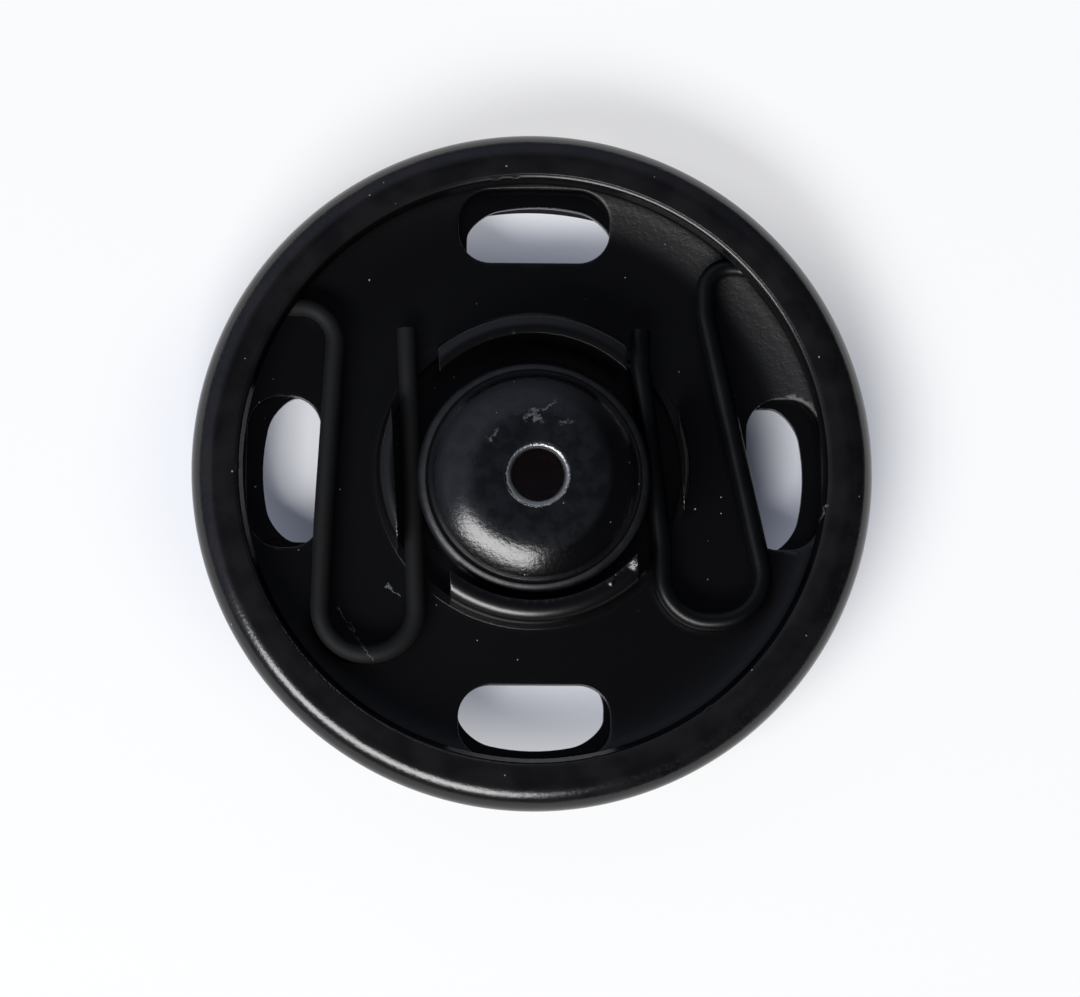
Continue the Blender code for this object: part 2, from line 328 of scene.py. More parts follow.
def cutOut(piece, cutters):
    for cutter in cutters:
        cut = piece.modifiers.new(cutter.name, "BOOLEAN")
        cut.operation = "DIFFERENCE"
        cut.solver = "EXACT"
        cut.object = cutter
    bakedMesh(piece)
    for cutter in cutters:
        bpy.data.objects.remove(cutter)
    return piece


def tidyCutEdges(piece, width, stub=0.004, sharpFrom=48):
    # merges the short stubs that a cut leaves and rounds its edges, where they are sharper than so many degrees
    mesh = bmesh.new()
    mesh.from_mesh(piece.data)
    bmesh.ops.remove_doubles(mesh, verts=mesh.verts, dist=stub * mm)
    sharp = [e for e in mesh.edges if e.is_manifold and e.calc_face_angle(0) > radians(sharpFrom)]
    bmesh.ops.bevel(
        mesh, geom=sharp, offset=width * mm, offset_type="OFFSET", segments=2, profile=0.5,
        affect="EDGES", clamp_overlap=True)
    bmesh.ops.remove_doubles(mesh, verts=mesh.verts, dist=0.001 * mm)
    mesh.to_mesh(piece.data)
    mesh.free()
    return piece


def smoothShaded(piece):
    for face in piece.data.polygons:
        face.use_smooth = True
    weighted = piece.modifiers.new("weightedNormals", "WEIGHTED_NORMAL")
    weighted.mode = "FACE_AREA"
    weighted.weight = 60
    return bakedMesh(piece)


# socket half

socket = dict(
    hubHole=5.9, hubTopWidth=1.0, hubCorner=0.56, hubFlare=0.05, hubFoot=0.2,
    lipHeight=1.45, rim=dict(width=1.97, bulge=0.31, lean=5, droop=22, droopRadius=0.5),
    windowInner=4.12, windowOuter=6.3, windowSill=0.05, windowTurn=radians(3), windowShift=0.175, windowReach=9,
    windowOver=1, hubRound=0.008, lipRound=0.15, windowRound=0.06, steps=288,
    # radius and lift of the plate, which sinks a little and turns up towards the rim
    dish=smoothLine([
        (6.975, 0), (8.4, -0.11), (9.6, -0.18), (10.8, -0.2), (11.6, -0.155), (12.3, -0.05), (12.9, 0.08),
        (13.4, 0.07), (14.2, 0)], 4),
    slots=dict(
        length=6.7, width=3.3, corner=1.4, bow=0.15, turn=0, shift=(0.1, 0), edgeRound=0.06,
        radii=(11.05, 11.05, 11.05, 11.05)))


def buildSocketHalf():
    s = socket
    side = s["hubHole"] + s["hubTopWidth"] - sheetThick / 2
    topZ = hubTopZ - sheetThick / 2
    line = [(s["hubHole"], topZ)]
    line += arcPoints(side - s["hubCorner"], topZ - s["hubCorner"], s["hubCorner"], 90, 0)
    foot = side + s["hubFlare"] + s["hubFoot"]
    line += arcPoints(foot, socketPlateZ + s["hubFoot"], s["hubFoot"], 180, 270)
    line += [(r, socketPlateZ + lift) for r, lift in s["dish"][1:-1]]
    line += rolledRim(socketPlateZ, socketRadius, s["rim"], s["lipHeight"], 1)
    outline = sheetOutline(line, s["hubRound"], s["lipRound"])
    piece = linkPiece("socketSheet", turnedMesh("socketSheet", outline, s["steps"]))
    slotTool = slotCutters("socketSlots", s["slots"], 0, socketPlateZ, s["dish"])
    sill = socketPlateZ + sheetThick / 2 + s["windowSill"]
    windowTool = windowCutters(
        "hubWindows", s["windowInner"], s["windowOuter"], s["windowTurn"], s["windowShift"], sill,
        hubTopZ + s["windowOver"], s["windowReach"])
    cutOut(piece, [slotTool, windowTool])
    tidyCutEdges(piece, s["windowRound"])
    return smoothShaded(piece)


# ball half

ball = dict(
    radius=5.1, brimZ=3.8, shoulder=2.55, tipHole=1.15, tipShift=0.13, shiftReach=(1.4, 3.4), neckRadius=4.585,
    neckFoot=0.6, plateZ=1.45, tipRound=0.08, lipRound=0.12, steps=288,
    # the sheet's middle line as steps out from the tip hole, shoulder, brim and neck, and up from the top, or for the
    # two falls from the brim
    tip=[(0, -0.15), (0.08, -0.04), (0.25, 0), (0.55, 0)],
    dome=[
        (0, -0.03), (0.35, -0.1), (0.65, -0.205), (1.0, -0.375), (1.35, -0.585), (1.65, -0.8), (1.93, -1.045),
        (2.03, -1.09)],
    flange=(-0.16, -1.1), brimFall=[(0, 0), (-0.18, -0.21)], neckFall=[(0.05, -0.42), (0, -0.7)],
    rim=dict(width=1.3, bulge=0.5, lean=1, droop=1, droopRadius=0.5),
    # how far inside the neck and below the top the unlacquered hollow begins
    hollowInset=0.05, hollowDepth=0.5,
    slots=dict(
        length=6.4, width=3.3, corner=1.4, bow=0.6, turn=radians(-1), shift=(0.15, 0.36), edgeRound=0.04,
        radii=(10.57, 10.2, 10.35, 10.35)))


def buildBallHalf():
    b = ball
    hole = b["tipHole"] + sheetThick / 2
    brim = b["radius"] - sheetThick / 2
    neck = b["neckRadius"] - sheetThick / 2
    topZ = ballTopZ - sheetThick / 2
    profile = []
    for radius, height, points in (
            (hole, topZ, b["tip"]), (b["shoulder"], topZ, b["dome"]), (brim, topZ, [b["flange"]]),
            (brim, b["brimZ"], b["brimFall"]), (neck, b["brimZ"], b["neckFall"])):
        profile += [(radius + out, height + rise) for out, rise in points]
    line = smoothLine(profile, 4)
    line += arcPoints(neck + b["neckFoot"], b["plateZ"] + b["neckFoot"], b["neckFoot"], 180, 270)
    line += rolledRim(b["plateZ"], ballPlateRadius, b["rim"], b["plateZ"] - sheetThick / 2, -1)
    outline = sheetOutline(line, b["tipRound"], b["lipRound"])
    piece = linkPiece("ballSheet", turnedMesh("ballSheet", outline, b["steps"], ballCentreY))
    slotTool = slotCutters("ballSlots", b["slots"], ballCentreY, b["plateZ"])
    cutOut(piece, [slotTool])
    near, past = b["shiftReach"]
    for vertex in piece.data.vertices:
        # the tip hole is pierced a little off centre
        far = Vector((vertex.co.x, vertex.co.y - ballCentreY * mm)).length / mm
        if vertex.co.z > b["brimZ"] * mm:
            vertex.co.x += b["tipShift"] * max(0.0, min(1.0, (past - far) / (past - near))) * mm
    for face in piece.data.polygons:
        # second material: the hollow's own surface, inside the neck and under the dome
        outwards = Vector((face.center.x, face.center.y - ballCentreY * mm, 0))
        inward = face.normal.z < -0.2 or face.normal.dot(outwards.normalized()) < -0.5
        within = (
            outwards.length < (neck - b["hollowInset"]) * mm and face.center.z < (ballTopZ - b["hollowDepth"]) * mm)
        face.material_index = int(inward and within)
    return smoothShaded(piece)


# springs: a Geometry Nodes tree rounds the wire's corners and sweeps its section along them

def wireTree():
    tree = newTree("bentWire", [
        ("Route", "NodeSocketGeometry"), ("Thickness", "NodeSocketFloat"), ("Bend Points", "NodeSocketInt"),
        ("Sides", "NodeSocketInt"), ("Finish", "NodeSocketMaterial")], "Wire")
    given = addNode(tree, "NodeGroupInput").outputs
    bend = addNode(tree, "GeometryNodeInputNamedAttribute", {"Name": "bendRadius"}, data_type="FLOAT")
    girth = addNode(tree, "GeometryNodeInputNamedAttribute", {"Name": "girth"}, data_type="FLOAT")
    route = addNode(tree, "GeometryNodeMeshToCurve", {"Mesh": given["Route"]})
    bent = addNode(
        tree, "GeometryNodeFilletCurve",
        {"Curve": route, "Count": given["Bend Points"], "Radius": bend, "Limit Radius": True}, mode="POLY")
    drawn = addNode(tree, "GeometryNodeSetCurveRadius", {"Curve": bent, "Radius": girth})
    half = addNode(tree, "ShaderNodeMath", {0: given["Thickness"], 1: 0.5}, operation="MULTIPLY")
    section = addNode(
        tree, "GeometryNodeCurvePrimitiveCircle", {"Resolution": given["Sides"], "Radius": half}, mode="RADIUS")
    swept = addNode(tree, "GeometryNodeCurveToMesh", {"Curve": drawn, "Profile Curve": section, "Fill Caps": True})
    # the merge joins the end caps to the wire
    closed = addNode(tree, "GeometryNodeMergeByDistance", {"Geometry": swept, "Distance": 1e-7})
    shaded = addNode(tree, "GeometryNodeSetShadeSmooth", {"Geometry": closed, "Shade Smooth": True})
    solid = addNode(tree, "GeometryNodeRealizeInstances", {"Geometry": shaded})
    coated = addNode(tree, "GeometryNodeSetMaterial", {"Geometry": solid, "Material": given["Finish"]})
    addNode(tree, "NodeGroupOutput", {"Wire": coated})
    return tree


def taperedEnd(tip, after, taper):
    run = (after - tip).normalized()
    return [(tip + run * back * mm, 0.0, girth) for back, girth in taper]


def buildSpring(name, corners, tree, finish):
    # corners are x, y, bending radius and girth; both cut ends are drawn in a little
    route = [(Vector((x, y, wireZ)) * mm, bend * mm, girth) for x, y, bend, girth in corners]
    first = taperedEnd(route[0][0], route[1][0], wire["endTaper"])
    last = taperedEnd(route[-1][0], route[-2][0], wire["endTaper"])
    points, bends, girths = zip(*(first + route[1:-1] + last[::-1]))
    mesh = bpy.data.meshes.new(name)
    mesh.from_pydata(points, [(i, i + 1) for i in range(len(points) - 1)], [])
    for label, values in (("bendRadius", bends), ("girth", girths)):
        layer = mesh.attributes.new(label, "FLOAT", "POINT")
        layer.data.foreach_set("value", values)
    piece = applyTree(linkPiece(name, mesh), tree, {
        "Thickness": wireThick * mm, "Bend Points": wire["bendPoints"], "Sides": wire["sides"], "Finish": finish})
    fixed = bmesh.new()
    fixed.from_mesh(piece.data)
    bmesh.ops.recalc_face_normals(fixed, faces=fixed.faces)
    fixed.to_mesh(piece.data)
    fixed.free()
    return piece


wire = dict(
    # distance from a cut end and girth there
    endTaper=[(0, 0.6), (0.03, 0.74), (0.09, 0.83), (0.6, 0.88), (1.4, 1.0)],
    bendPoints=14, sides=28, hookRadius=13.95, hookBend=0.6, hookTurn=12, hookSteps=4)


def hookRun(side, y):
    # the hook's last stretch runs along the rim, under the lip
    radius, steps = wire["hookRadius"], wire["hookSteps"]
    meet = degrees(asin(y / radius))
    angles = [radians(meet - wire["hookTurn"] * i / steps) for i in range(steps + 1)]
    return [
        (side * radius * cos(a), radius * sin(a), wire["hookBend"] if i == 0 else 0.0, 1.0)
        for i, a in enumerate(angles)]


leftRoute = [
    (-5.568, 6.3, 0, 0.95), (-5.035, -8.12, 2.05, 1.03), (-9.41, -8.12, 2.05, 1.06), (-9.2, -2.2, 12, 1.1),
    (-8.6, 7.24, 1.55, 1.02)] + hookRun(-1, 7.24)
rightRoute = [
    (4.765, 6.3, 0, 0.95), (4.765, 4.6, 3, 1), (5.72, -3.3, 3, 1), (5.72, -6.61, 2.05, 1), (10.62, -6.61, 2.05, 1),
    (7.65, 7.0, 3, 1), (7.65, 9.12, 1.1, 1), (9.1, 9.12, 0.8, 1)] + hookRun(1, 8.75)


# finishes: positions in the materials are in millimetres, and a bump's height too

def inMillimetres(tree):
    place = addNode(tree, "ShaderNodeTexCoord").outputs["Object"]
    return addNode(tree, "ShaderNodeVectorMath", {0: place, 1: (1000, 1000, 1000)}, operation="MULTIPLY")


def distanceFrom(tree, place, x, y):
    # distance from an upright line through x, y
    flat = addNode(tree, "ShaderNodeVectorMath", {0: place, 1: (1, 1, 0), 2: (-x, -y, 0)}, operation="MULTIPLY_ADD")
    return addNode(tree, "ShaderNodeVectorMath", {0: flat}, operation="LENGTH")


def band(tree, value, rise, fall):
    # eases from 0 to 1 while the value goes through rise, and back to 0 through fall
    up = addNode(tree, "ShaderNodeMapRange", {0: value, 1: rise[0], 2: rise[1]}, interpolation_type="SMOOTHSTEP")
    down = addNode(
        tree, "ShaderNodeMapRange", {0: value, 1: fall[0], 2: fall[1], 3: 1.0, 4: 0.0},
        interpolation_type="SMOOTHSTEP")
    return addNode(tree, "ShaderNodeMath", {0: up, 1: down}, operation="MULTIPLY")


def swayed(tree, value, noise, reach):
    # the value, carried up and down by noise
    low = addNode(tree, "ShaderNodeMath", {0: value, 1: -0.5 * reach}, operation="ADD")
    return addNode(tree, "ShaderNodeMath", {0: noise, 1: reach, 2: low}, operation="MULTIPLY_ADD")


def dustSpecks(tree, place, look):
    # one small speck in some of the cells: a cell's chance sets the speck's size, and below nought there is none
    spacing, size = look["dustSpacing"], look["dustSize"]
    cells = addNode(
        tree, "ShaderNodeTexVoronoi", {"Vector": place, "Scale": 1 / spacing, "Randomness": 1.0}, feature="F1")
    chance = addNode(tree, "ShaderNodeSeparateColor", {"Color": cells.outputs["Color"]})
    speck = addNode(tree, "ShaderNodeMix", {"Factor": chance, "A": -1.6 * size, "B": size})
    away = addNode(tree, "ShaderNodeMath", {0: cells, 1: spacing}, operation="MULTIPLY")
    edge = addNode(tree, "ShaderNodeMath", {0: speck, 1: away}, operation="SUBTRACT")
    return addNode(tree, "ShaderNodeMapRange", {0: edge, 1: 0, 2: 0.02}, interpolation_type="SMOOTHSTEP")


def scratchMark(tree, place, start, end, width, wobble, crinkleSize=0.35):
    # a thin broken line between two points, crinkled by noise
    a, b = Vector((*start, 0)), Vector((*end, 0))
    way = (b - a).normalized()
    side = Vector((-way.y, way.x, 0))
    onward = addNode(tree, "ShaderNodeVectorMath", {0: place, 1: way}, operation="DOT_PRODUCT")
    across = addNode(tree, "ShaderNodeVectorMath", {0: place, 1: side}, operation="DOT_PRODUCT")
    crinkle = addNode(
        tree, "ShaderNodeTexNoise", {"Vector": place, "Scale": 1 / crinkleSize, "Detail": 3.0, "Roughness": 0.6})
    off = addNode(tree, "ShaderNodeMath", {0: across, 1: a.dot(side)}, operation="SUBTRACT")
    off = addNode(tree, "ShaderNodeMath", {0: swayed(tree, off, crinkle, wobble)}, operation="ABSOLUTE")
    line = addNode(
        tree, "ShaderNodeMapRange", {0: off, 1: 0.5 * width, 2: width, 3: 1.0, 4: 0.0},
        interpolation_type="SMOOTHSTEP")
    first, last = a.dot(way), b.dot(way)
    ends = band(tree, onward, (first - width, first + width), (last - width, last + width))
    return addNode(tree, "ShaderNodeMath", {0: line, 1: ends}, operation="MULTIPLY")


def newFinish(name):
    material = bpy.data.materials.new(name)
    material.use_nodes = True
    tree = material.node_tree
    tree.nodes.clear()
    return material, tree


def finishWith(tree, colour, roughness, height, metallic=0.0, specular=0.5):
    bump = addNode(tree, "ShaderNodeBump", {"Height": height, "Strength": 1.0, "Distance": mm})
    shader = addNode(
        tree, "ShaderNodeBsdfPrincipled",
        {"Base Color": colour, "Roughness": roughness, "Metallic": metallic, "IOR": 1.5,
         "Specular IOR Level": specular, "Normal": bump})
    addNode(tree, "ShaderNodeOutputMaterial", {"Surface": shader})


socketLook = dict(
    colour="#060607", lipTone="#0A0A0C", lipWorn="#161415", rubbed="#17181B", dust="#8C9096", bared="#55585C",
    plateRough=0.24, pittedRough=0.47, hubRough=0.27, lipRough=0.3, rimRough=0.19,
    # grain size in millimetres, detail and roughness of sway, peel, pits, grain and patches
    noises=[(2.6, 1.0, 0.5), (0.34, 2.0, 0.5), (0.24, 3.0, 0.6), (0.16, 3.0, 0.65), (1.6, 2.0, 0.5)],
    swayHeight=0.012, peelHeight=0.0035, pitHeight=0.005, grainHeight=0.009,
    # radii between which one surface passes into the next
    hubEnd=(7.0, 7.2), lipStart=(12.95, 13.05), rimStart=(13.6, 14.1), pitStart=(10.6, 11.8), pitEnd=(12.8, 12.95),
    wornStart=(14.0, 14.2), wornEnd=(14.55, 14.75), wornSway=0.3,
    # the pits' side, how far out towards it they set in, and the share of them on the other side
    pitAzimuth=42, pitReach=(6.0, 9.5), pitLeast=0.1,
    # noise values between which pits, worn specks and the lip's brown patches set in
    pitShare=(0.36, 0.56), wornShare=(0.45, 0.7), lipShare=(0.3, 0.7),
    # x, y, size and height of the small drops that the lacquer left on the hub
    drops=[(4.6, -4.0, 0.85, 0.33), (3.36, -5.1, 0.24, 0.08), (-4.72, 3.6, 0.22, 0.08), (-4.7, -3.95, 0.15, 0.05)],
    cracks=[
        ((-8.52, -6.0), (-7.85, -7.15)), ((-7.85, -7.15), (-7.01, -8.47)), ((-6.45, -5.05), (-5.8, -5.5)),
        ((12.62, -2.3), (12.86, -1.5))],
    crackWidth=0.045, crackWobble=0.85, dustSpacing=0.6, dustSize=0.05)


def socketLacquer(look):
    # stoved black lacquer: deep black on the flat plate, dull and finely pitted where the plate turns up on one side,
    # satin on the hub and the lip, a glossy outer round with a grainy worn band along it
    material, tree = newFinish("stovedLacquerSocket")
    place = inMillimetres(tree)
    radius = distanceFrom(tree, place, 0, 0)
    sway, peel, pits, grain, patches = [
        addNode(
            tree, "ShaderNodeTexNoise",
            {"Vector": place, "Scale": 1 / size, "Detail": detail, "Roughness": rough})
        for size, detail, rough in look["noises"]]
    side = radians(look["pitAzimuth"])
    sideways = addNode(
        tree, "ShaderNodeVectorMath", {0: place, 1: (cos(side), sin(side), 0)}, operation="DOT_PRODUCT")
    near, far = look["pitReach"]
    oneSide = addNode(
        tree, "ShaderNodeMapRange", {0: sideways, 1: near, 2: far, 3: look["pitLeast"], 4: 1.0},
        interpolation_type="SMOOTHSTEP")
    pitted = band(tree, radius, look["pitStart"], look["pitEnd"])
    pitted = addNode(tree, "ShaderNodeMath", {0: pitted, 1: oneSide}, operation="MULTIPLY")
    worn = band(tree, swayed(tree, radius, patches, look["wornSway"]), look["wornStart"], look["wornEnd"])
    onPlate, onLip, onRim = [
        addNode(tree, "ShaderNodeMapRange", {0: radius, 1: start, 2: end}, interpolation_type="SMOOTHSTEP")
        for start, end in (look["hubEnd"], look["lipStart"], look["rimStart"])]
    dents, wornGrain, lipPatches = [
        addNode(tree, "ShaderNodeMapRange", {0: noise, 1: start, 2: end}, interpolation_type="SMOOTHSTEP")
        for noise, (start, end) in (
            (pits, look["pitShare"]), (grain, look["wornShare"]), (patches, look["lipShare"]))]
    sunk, scoured, rubbed = [
        addNode(tree, "ShaderNodeMath", {0: share, 1: noise}, operation="MULTIPLY")
        for share, noise in ((pitted, dents), (worn, grain), (worn, wornGrain))]

    height = 0.0
    for layer, rise in (
            (sway, look["swayHeight"]), (peel, look["peelHeight"]), (sunk, look["pitHeight"]),
            (scoured, look["grainHeight"])):
        height = addNode(tree, "ShaderNodeMath", {0: layer, 1: rise, 2: height}, operation="MULTIPLY_ADD")
    for x, y, size, rise in look["drops"]:
        # its outline frays by a fifth of its size
        away = distanceFrom(tree, place, x, y)
        away = addNode(tree, "ShaderNodeMath", {0: peel, 1: 0.2 * size, 2: away}, operation="MULTIPLY_ADD")
        drop = addNode(
            tree, "ShaderNodeMapRange", {0: away, 1: 0, 2: size, 3: rise, 4: 0}, interpolation_type="SMOOTHSTEP")
        height = addNode(tree, "ShaderNodeMath", {0: height, 1: drop}, operation="ADD")

    rough = addNode(tree, "ShaderNodeMix", {"Factor": pitted, "A": look["plateRough"], "B": look["pittedRough"]})
    rough = addNode(tree, "ShaderNodeMix", {"Factor": onPlate, "A": look["hubRough"], "B": rough})
    rough = addNode(tree, "ShaderNodeMix", {"Factor": onLip, "A": rough, "B": look["lipRough"]})
    rough = addNode(tree, "ShaderNodeMix", {"Factor": onRim, "A": rough, "B": look["rimRough"]})

    lipColour = addNode(
        tree, "ShaderNodeMix",
        {"Factor": lipPatches, "A": hexColour(look["lipTone"]), "B": hexColour(look["lipWorn"])}, data_type="RGBA")
    layers = [(onLip, lipColour), (rubbed, hexColour(look["rubbed"]))]
    layers += [(dustSpecks(tree, place, look), hexColour(look["dust"]))]
    for start, end in look["cracks"]:
        crack = scratchMark(tree, place, start, end, look["crackWidth"], look["crackWobble"])
        layers += [(crack, hexColour(look["bared"]))]
    colour = hexColour(look["colour"])
    for share, over in layers:
        colour = addNode(tree, "ShaderNodeMix", {"Factor": share, "A": colour, "B": over}, data_type="RGBA")
    finishWith(tree, colour, rough, height)
    return material


ballLook = dict(
    colour="#050506", filmAndSheen="#17181C", steel="#A8AAAC", dust="#8C9096",
    smoothRough=0.2, filmRough=0.21, steelRough=0.46, brimRough=0.42, cornerRough=0.36,
    # grain size in millimetres, detail and roughness of sway, peel, mottle and fine
    noises=[(1.8, 1.0, 0.5), (0.2, 3.0, 0.6), (0.55, 2.0, 0.5), (0.16, 2.0, 0.5)],
    swayHeight=0.008, peelHeight=0.013, burrHeight=0.05,
    # distances from the axis, or from the tip hole for the last two, between which one surface passes into the next
    filmEnd=(3.55, 3.9), brimStart=(4.74, 4.8), cornerStart=(4.4, 4.5), cornerEnd=(4.62, 4.7), bareEnd=(1.4, 1.5),
    burrEnd=(1.36, 1.54), filmShiftToLitSide=(-0.4, 0.1), brimAbove=(3.0, 3.2), filmSway=0.3, tipLean=0.05, tipFray=0.16,
    roughSway=0.1,
    # noise values between which a scratch breaks off and the film thins out, and what is left there
    broken=(0.4, 0.6), scratchLeast=0.04, scratchMost=0.3, thinned=(0.35, 0.65), filmLeast=0.45,
    scratches=[
        ((-0.47, 1.95), (0.1, 2.48)), ((0.0, 2.26), (0.9, 2.79)), ((-0.08, 2.22), (0.3, 1.8)),
        ((1.08, 1.77), (1.7, 1.95)), ((-2.02, 1.07), (-1.55, 1.45))],
    scratchWidth=0.09, scratchWobble=0.9, dustSpacing=0.42, dustSize=0.045)


def ballLacquer(look):
    # black lacquer rubbed grey on the ball's crown by the hub, the grey partly painted light: set off towards the lit
    # side and laid on the brim's top as a painted reflection; duller on the brim, and worn to bare steel on the tip
    # hole's lip and in a few scratches
    material, tree = newFinish("stovedLacquerBall")
    place = inMillimetres(tree)
    radius = distanceFrom(tree, place, 0, ballCentreY)
    fromTip = distanceFrom(tree, place, ball["tipShift"], ballCentreY)
    filmX, filmY = look["filmShiftToLitSide"]
    # the grey's centre is set off the axis towards the lit side, a painted lighter side over the real rub
    fromFilm = distanceFrom(tree, place, filmX, ballCentreY + filmY)
    upright = addNode(tree, "ShaderNodeSeparateXYZ", {"Vector": place}).outputs
    sway, peel, mottle, fine = [
        addNode(
            tree, "ShaderNodeTexNoise",
            {"Vector": place, "Scale": 1 / size, "Detail": detail, "Roughness": rough})
        for size, detail, rough in look["noises"]]
    filmEdge = swayed(tree, fromFilm, mottle, look["filmSway"])
    lean = addNode(tree, "ShaderNodeMath", {0: upright["Y"], 1: ballCentreY}, operation="SUBTRACT")
    lipEdge = addNode(tree, "ShaderNodeMath", {0: lean, 1: look["tipLean"], 2: fromTip}, operation="MULTIPLY_ADD")
    lipEdge = addNode(tree, "ShaderNodeMath", {0: fine, 1: look["tipFray"], 2: lipEdge}, operation="MULTIPLY_ADD")
    filmAndSheen, brimSide, brimTop, bare, burr, broken, mottled = [
        addNode(
            tree, "ShaderNodeMapRange", {0: value, 1: reach[0], 2: reach[1], 3: low, 4: high},
            interpolation_type="SMOOTHSTEP")
        for value, reach, low, high in (
            (filmEdge, look["filmEnd"], 1.0, 0.0), (radius, look["brimStart"], 0.0, 1.0),
            (upright["Z"], look["brimAbove"], 0.0, 1.0), (lipEdge, look["bareEnd"], 1.0, 0.0),
            (lipEdge, look["burrEnd"], look["burrHeight"], 0.0),
            (fine, look["broken"], look["scratchLeast"], look["scratchMost"]),
            (mottle, look["thinned"], look["filmLeast"], 1.0))]
    onBrim = addNode(tree, "ShaderNodeMath", {0: brimSide, 1: brimTop}, operation="MULTIPLY")
    # the grey is laid on the brim's top as well, a painted reflection of that ring; rubbed below is this grey, partly
    # painted light
    filmAndSheen = addNode(tree, "ShaderNodeMath", {0: filmAndSheen, 1: onBrim}, operation="MAXIMUM")
    rubbed = addNode(tree, "ShaderNodeMath", {0: filmAndSheen, 1: mottled}, operation="MULTIPLY")
    corner = band(tree, radius, look["cornerStart"], look["cornerEnd"])
    for start, end in look["scratches"]:
        mark = scratchMark(tree, place, start, end, look["scratchWidth"], look["scratchWobble"])
        mark = addNode(tree, "ShaderNodeMath", {0: mark, 1: broken}, operation="MULTIPLY")
        bare = addNode(tree, "ShaderNodeMath", {0: bare, 1: mark}, operation="MAXIMUM")

    height = burr
    for layer, rise in ((sway, look["swayHeight"]), (peel, look["peelHeight"])):
        height = addNode(tree, "ShaderNodeMath", {0: layer, 1: rise, 2: height}, operation="MULTIPLY_ADD")

    rough = addNode(tree, "ShaderNodeMix", {"Factor": filmAndSheen, "A": look["smoothRough"], "B": look["filmRough"]})
    rough = addNode(tree, "ShaderNodeMix", {"Factor": corner, "A": rough, "B": look["cornerRough"]})
    rough = addNode(tree, "ShaderNodeMix", {"Factor": onBrim, "A": rough, "B": look["brimRough"]})
    rough = swayed(tree, rough, fine, look["roughSway"])
    rough = addNode(tree, "ShaderNodeMix", {"Factor": bare, "A": rough, "B": look["steelRough"]})

    colour = hexColour(look["colour"])
    for share, over in ((rubbed, look["filmAndSheen"]), (dustSpecks(tree, place, look), look["dust"]), (bare, look["steel"])):
        colour = addNode(
            tree, "ShaderNodeMix", {"Factor": share, "A": colour, "B": hexColour(over)}, data_type="RGBA")
    finishWith(tree, colour, rough, height, metallic=bare)
    return material


hollowLook = dict(
    dark="#3A1710", bloom="#7A2A18", rough=0.7, grainSize=0.6, grainHeight=0.01, bloomShare=(0.35, 0.65))


def hollowSteel(look):
    # inside of the ball, where no lacquer reached: dark steel with a matt brown bloom of rust
    material, tree = newFinish("rustedSteelHollow")
    bloom = addNode(
        tree, "ShaderNodeTexNoise",
        {"Vector": inMillimetres(tree), "Scale": 1 / look["grainSize"], "Detail": 3.0, "Roughness": 0.6})
    start, end = look["bloomShare"]
    share = addNode(tree, "ShaderNodeMapRange", {0: bloom, 1: start, 2: end}, interpolation_type="SMOOTHSTEP")
    colour = addNode(
        tree, "ShaderNodeMix", {"Factor": share, "A": hexColour(look["dark"]), "B": hexColour(look["bloom"])},
        data_type="RGBA")
    height = addNode(tree, "ShaderNodeMath", {0: bloom, 1: look["grainHeight"]}, operation="MULTIPLY")
    finishWith(tree, colour, look["rough"], height)
    return material


wireLook = dict(
    colour="#060708", dust="#8C9096", bared="#3E4044", dull=0.72, glossy=0.33, specular=0.26,
    # grain size in millimetres, detail and roughness of sway and peel
    noises=[(1.5, 1.0, 0.5), (0.22, 3.0, 0.6)],
    swayHeight=0.008, peelHeight=0.0035, roughSway=0.16, dustSpacing=0.9, dustSize=0.04)


def wireLacquer(look):
    # spring wire under the same lacquer, drawn a little unevenly: the left spring has rubbed dull, and the right one
    # is still glossy
    material, tree = newFinish("stovedLacquerWire")
    place = inMillimetres(tree)
    sway, peel = [
        addNode(
            tree, "ShaderNodeTexNoise",
            {"Vector": place, "Scale": 1 / size, "Detail": detail, "Roughness": rough})
        for size, detail, rough in look["noises"]]
    height = 0.0
    for layer, rise in ((sway, look["swayHeight"]), (peel, look["peelHeight"])):
        height = addNode(tree, "ShaderNodeMath", {0: layer, 1: rise, 2: height}, operation="MULTIPLY_ADD")
    across = addNode(tree, "ShaderNodeSeparateXYZ", {"Vector": place}).outputs["X"]
    rough = addNode(
        tree, "ShaderNodeMapRange", {0: across, 1: -1, 2: 1, 3: look["dull"], 4: look["glossy"]},
        interpolation_type="SMOOTHSTEP")
    rough = swayed(tree, rough, sway, look["roughSway"])
    layers = [(dustSpecks(tree, place, look), look["dust"])]
    for start, end in socketLook["cracks"]:
        # the crack in the socket's lacquer runs on over the wire
        crack = scratchMark(tree, place, start, end, socketLook["crackWidth"], socketLook["crackWobble"])
        layers += [(crack, look["bared"])]
    colour = hexColour(look["colour"])
    for share, over in layers:
        colour = addNode(
            tree, "ShaderNodeMix", {"Factor": share, "A": colour, "B": hexColour(over)}, data_type="RGBA")
    finishWith(tree, colour, rough, height, specular=look["specular"])
    return material


# stage: card, soft box, dim surround and camera

table = dict(
    size=1.2, colour="#F5F6F8", shade="#BCC8E8", drop=0.02, glowStart=6.0, glowFull=16.5, glow=0.66,
    glowCentreY=0.6, glowStretch=(0.8, 1.08, 1))
softBox = dict(azimuth=240, elevation=41, distance=0.5, width=0.48, height=0.17, power=3.75)
surround = dict(
    colour="#D9E0FA", dim=0.042, lit=0.43, litAzimuth=140, litSide=(-0.25, 0.6), darkTop=(0.97, 0.82),
    horizon=(0.0, 0.5), horizonShare=0.45)
view = dict(
    aim=(0.345, -1.155, 2.3), leanX=-0.0487, leanY=-0.128, distance=280, frameWidth=47.6, sensorWidth=36,
    clipStart=10)


